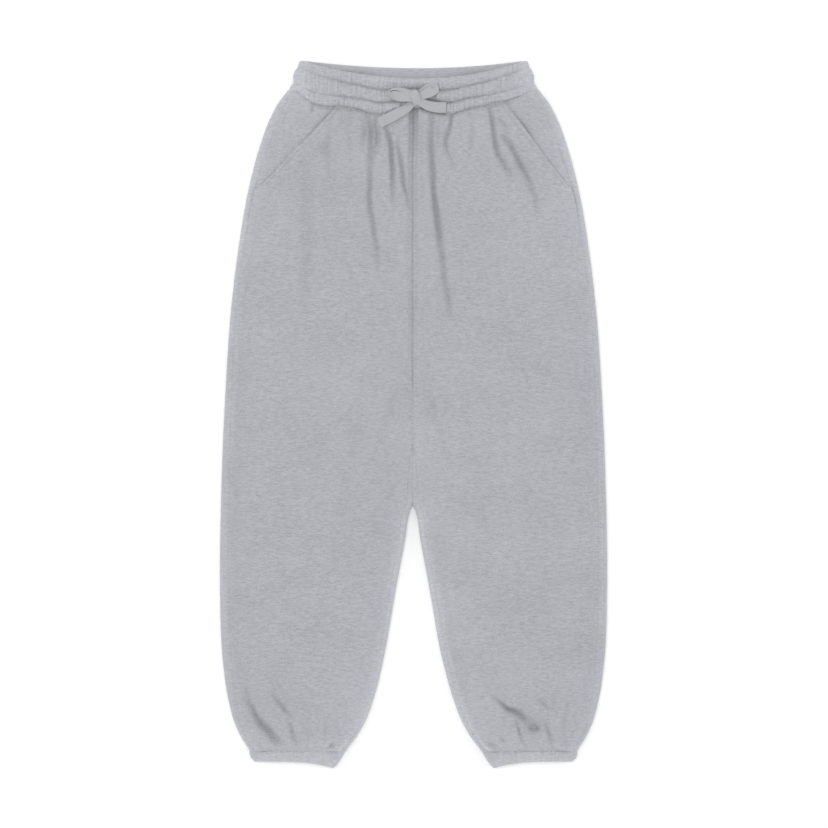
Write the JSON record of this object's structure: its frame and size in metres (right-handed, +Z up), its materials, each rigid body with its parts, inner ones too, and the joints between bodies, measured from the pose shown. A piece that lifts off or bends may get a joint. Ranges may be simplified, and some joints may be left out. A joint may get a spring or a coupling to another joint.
{
  "type": "jogger sweatpants",
  "caption": "Wide-legged jogger sweatpants laid flat, with a gathered drawstring waistband, slash pockets and gathered cuffs",
  "frame": {"origin": "on the surface that the garment lies on, under the middle of its outline", "axes": "+X to the right as the front is seen from above, +Y from the ankles to the waist, +Z up from the surface"},
  "size_m": [0.5464, 1, 0.0249],
  "materials": {
    "fleece": "heather grey brushed fleece, matt, with a soft nap",
    "casing": "the same heather grey fleece, gathered over elastic",
    "tape": "heather grey flat woven cotton tape, matt"
  },
  "bodies": {
    "root": {"front_left": "fleece", "front_right": "fleece", "back_left": "fleece", "back_right": "fleece", "pocket_facing_left": "fleece", "pocket_facing_right": "fleece", "waistband": "casing", "cuff_left": "casing", "cuff_right": "casing", "drawstring_knot": "tape", "drawstring_loop_left": "tape", "drawstring_loop_right": "tape", "drawstring_tail_left": "tape", "drawstring_tail_right": "tape"}
  },
  "joints": []
}
